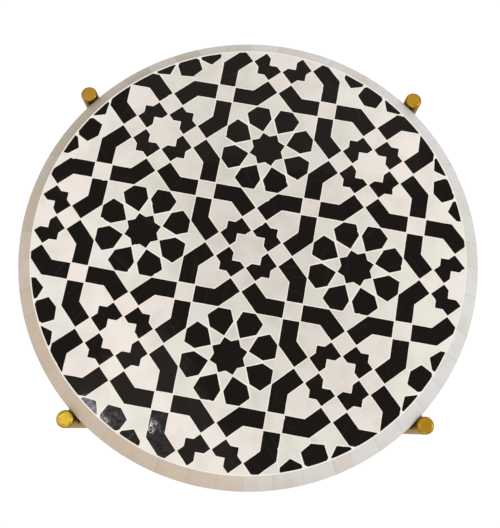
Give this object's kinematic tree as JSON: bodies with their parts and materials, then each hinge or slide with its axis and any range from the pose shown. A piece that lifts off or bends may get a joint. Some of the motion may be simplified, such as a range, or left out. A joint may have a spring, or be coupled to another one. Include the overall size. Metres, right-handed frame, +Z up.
{
  "type": "moroccan kursi stool",
  "caption": "Round low stool with a flat inlaid seat in a black and white star pattern, a bevelled bone rim and slim vertical brass tube legs tied by two rings.",
  "frame": {"origin": "on the floor under the centre of the seat", "axes": "+Z up, +X to the right and -Y to the front as the stool is seen in the picture"},
  "size_m": [0.44, 0.44, 0.45],
  "materials": {
    "wood": "sanded, sealed",
    "horn": "polished black horn in resin, clear lacquer",
    "bone": "polished white bone in cream resin, clear lacquer",
    "rim_bone": "polished bone strips, clear lacquer",
    "brass": "satin lacquered brass",
    "nylon": "moulded black nylon",
    "steel": "zinc plated"
  },
  "bodies": {
    "root": {"seat_core": "wood", "horn_tiles": "horn", "bone_field": "bone", "white_star_1": "bone", "white_star_2": "bone", "white_star_3": "bone", "white_star_4": "bone", "white_star_5": "bone", "black_star_1": "horn", "black_star_2": "horn", "black_star_3": "horn", "black_star_4": "horn", "rim_strips_1": "rim_bone", "rim_strips_2": "rim_bone", "rim_strips_3": "rim_bone", "rim_strips_4": "rim_bone", "rim_strips_5": "rim_bone", "rim_strips_6": "rim_bone", "rim_strips_7": "rim_bone", "rim_strips_8": "rim_bone", "rim_strips_9": "rim_bone", "rim_strips_10": "rim_bone", "side_strips_1": "rim_bone", "side_strips_2": "rim_bone", "side_strips_3": "rim_bone", "side_strips_4": "rim_bone", "side_strips_5": "rim_bone", "side_strips_6": "rim_bone", "side_strips_7": "rim_bone", "side_strips_8": "rim_bone", "side_strips_9": "rim_bone", "side_strips_10": "rim_bone", "seat_hoop": "brass", "lower_ring": "brass", "leg_back_right": "brass", "leg_back_left": "brass", "leg_front_left": "brass", "leg_front_right": "brass", "foot_glide_back_right": "nylon", "foot_glide_back_left": "nylon", "foot_glide_front_left": "nylon", "foot_glide_front_right": "nylon", "seat_screw_1": "steel", "seat_screw_2": "steel", "seat_screw_3": "steel", "seat_screw_4": "steel", "seat_screw_5": "steel", "seat_screw_6": "steel", "seat_screw_7": "steel", "seat_screw_8": "steel"}
  },
  "joints": []
}
